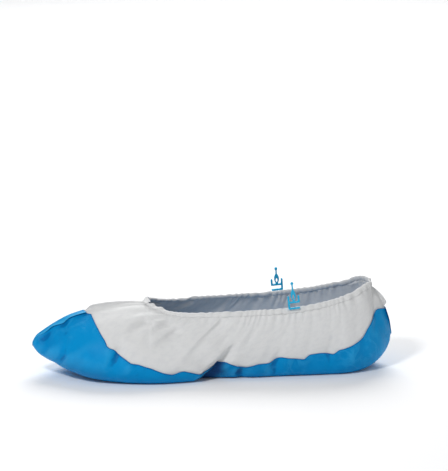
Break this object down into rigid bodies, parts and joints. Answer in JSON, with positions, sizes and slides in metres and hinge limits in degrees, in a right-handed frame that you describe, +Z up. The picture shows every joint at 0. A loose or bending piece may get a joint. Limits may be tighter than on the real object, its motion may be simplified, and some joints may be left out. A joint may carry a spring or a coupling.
{
  "type": "shoe cover",
  "caption": "Disposable overshoe: white nonwoven upper welded to a blue coated film sole, gathered elastic rim, dispenser clips, standing open on its sole.",
  "frame": {"origin": "on the floor, under the middle of the cover's bounding box", "axes": "+Z up, -X towards the toe and +X towards the heel, -Y the inner side of the foot, which faces the camera"},
  "size_m": [0.34, 0.1158, 0.0904],
  "materials": {
    "film": "soft embossed polyethylene film with a satin gloss",
    "nonwoven": "white spunbond nonwoven with a fine bond pattern",
    "casing": "white spunbond nonwoven folded over an elastic thread and gathered",
    "clip": "moulded teal plastic"
  },
  "bodies": {
    "root": {"sole_cover": "film", "upper_near": "nonwoven", "upper_far": "nonwoven", "rim_band": "casing", "clip_near": "clip", "clip_far": "clip"}
  },
  "joints": []
}
